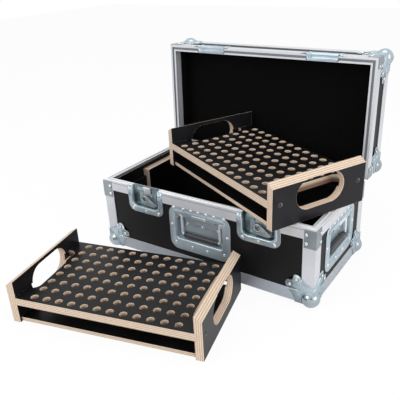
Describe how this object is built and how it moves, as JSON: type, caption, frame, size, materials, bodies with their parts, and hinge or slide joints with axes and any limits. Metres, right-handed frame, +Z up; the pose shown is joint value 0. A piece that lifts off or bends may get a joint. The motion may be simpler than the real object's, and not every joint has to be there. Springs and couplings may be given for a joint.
{
  "type": "spigot flight case",
  "caption": "Hinged plywood flight case with aluminium edges, recessed latches, sprung handles and lift-out trays drilled to hold truss spigots.",
  "frame": {"origin": "centre of the underside of the bottom panel", "axes": "+X along the case's length to the right, -Y out of the front with the latches, +Z up"},
  "size_m": [0.657, 0.8035, 0.5024],
  "materials": {
    "laminated_plywood": "satin",
    "aluminium_profile": "brushed",
    "lining_foam": "matte",
    "grip_rubber": "matte",
    "screw_steel": "satin",
    "tray_plywood": "satin",
    "bright_steel": "satin",
    "zinc_steel": "satin"
  },
  "bodies": {
    "case": {"base_back_panel": "laminated_plywood", "base_ball_corners": "zinc_steel", "base_bottom_angles": "aluminium_profile", "base_bottom_panel": "laminated_plywood", "base_corner_angles": "aluminium_profile", "base_front_panel": "laminated_plywood", "base_left_panel": "laminated_plywood", "base_right_panel": "laminated_plywood", "base_rim": "aluminium_profile", "base_rim_braces": "zinc_steel", "base_rivets": "zinc_steel", "handle_dish_front": "zinc_steel", "handle_dish_left": "zinc_steel", "handle_dish_right": "zinc_steel", "handle_ears": "zinc_steel", "handle_springs": "bright_steel", "hinge_base_leaves": "zinc_steel", "hinge_pins": "bright_steel", "inner_side_board": "laminated_plywood", "latch_carrier_left": "zinc_steel", "latch_carrier_right": "zinc_steel", "latch_dish_left": "zinc_steel", "latch_dish_right": "zinc_steel"},
    "lid": {"hinge_lid_leaves": "zinc_steel", "latch_keeper_left": "zinc_steel", "latch_keeper_right": "zinc_steel", "lid_back_panel": "laminated_plywood", "lid_ball_corners": "zinc_steel", "lid_corner_angles": "aluminium_profile", "lid_foam_lining": "lining_foam", "lid_front_panel": "laminated_plywood", "lid_left_panel": "laminated_plywood", "lid_right_panel": "laminated_plywood", "lid_rim": "aluminium_profile", "lid_rim_braces": "zinc_steel", "lid_rivets": "zinc_steel", "lid_top_angles": "aluminium_profile", "lid_top_panel": "laminated_plywood"},
    "latch_key_left": {"latch_key_left": "bright_steel"},
    "latch_hook_left": {"latch_hook_left": "bright_steel"},
    "latch_key_right": {"latch_key_right": "bright_steel"},
    "latch_hook_right": {"latch_hook_right": "bright_steel"},
    "front_handle": {"handle_bail_front": "bright_steel", "handle_grip_front": "grip_rubber"},
    "right_handle": {"handle_bail_right": "bright_steel", "handle_grip_right": "grip_rubber"},
    "left_handle": {"handle_bail_left": "bright_steel", "handle_grip_left": "grip_rubber"},
    "floor_tray": {"floor_tray_deck": "tray_plywood", "floor_tray_left_end": "tray_plywood", "floor_tray_lower_board": "tray_plywood", "floor_tray_right_end": "tray_plywood", "floor_tray_screws": "screw_steel"},
    "upper_tray": {"upper_tray_deck": "tray_plywood", "upper_tray_left_end": "tray_plywood", "upper_tray_lower_board": "tray_plywood", "upper_tray_right_end": "tray_plywood", "upper_tray_screws": "screw_steel"}
  },
  "joints": [
    {"name": "lid_hinge", "type": "hinge", "parent": "case", "child": "lid", "pos_m": [0, 0.157, 0.176], "axis": [1, 0, 0], "range_deg": [0, 92]},
    {"name": "left_key_turn", "type": "hinge", "parent": "case", "child": "latch_key_left", "pos_m": [-0.162, -0.1485, 0.153], "axis": [0, -1, 0], "range_deg": [0, 86]},
    {"name": "left_hook_reach", "type": "slide", "parent": "case", "child": "latch_hook_left", "axis": [0, -0.342, 0.9397], "range_m": [0, 0.0078]},
    {"name": "right_key_turn", "type": "hinge", "parent": "case", "child": "latch_key_right", "pos_m": [0.162, -0.1485, 0.153], "axis": [0, -1, 0], "range_deg": [0, 86]},
    {"name": "right_hook_reach", "type": "slide", "parent": "case", "child": "latch_hook_right", "axis": [0, -0.342, 0.9397], "range_m": [0, 0.0078]},
    {"name": "front_handle_swing", "type": "hinge", "parent": "case", "child": "front_handle", "pos_m": [0, -0.1415, 0.1365], "axis": [-1, 0, 0], "range_deg": [0, 90], "stiffness_Nm_per_rad": 0.3, "springref_deg": -17.19},
    {"name": "right_handle_swing", "type": "hinge", "parent": "case", "child": "right_handle", "pos_m": [0.2915, 0, 0.1365], "axis": [0, -1, 0], "range_deg": [0, 90], "stiffness_Nm_per_rad": 0.3, "springref_deg": -17.19},
    {"name": "left_handle_swing", "type": "hinge", "parent": "case", "child": "left_handle", "pos_m": [-0.2915, 0, 0.1365], "axis": [0, 1, 0], "range_deg": [0, 90], "stiffness_Nm_per_rad": 0.3, "springref_deg": -17.19},
    {"name": "floor_tray_lift", "type": "slide", "parent": "case", "child": "floor_tray", "axis": [0, 0, 1], "range_m": [0, 0.3]},
    {"name": "upper_tray_lift", "type": "slide", "parent": "case", "child": "upper_tray", "axis": [0, -0.866, 0.5], "range_m": [0, 0.81]}
  ],
  "couplings": [
    {"joint": "left_hook_reach", "follows": "left_key_turn", "m_per_rad": 0.0051961},
    {"joint": "right_hook_reach", "follows": "right_key_turn", "m_per_rad": 0.0051961},
    {"joint": "upper_tray_lift", "follows": "lid_hinge", "m_per_rad": 0.5}
  ]
}
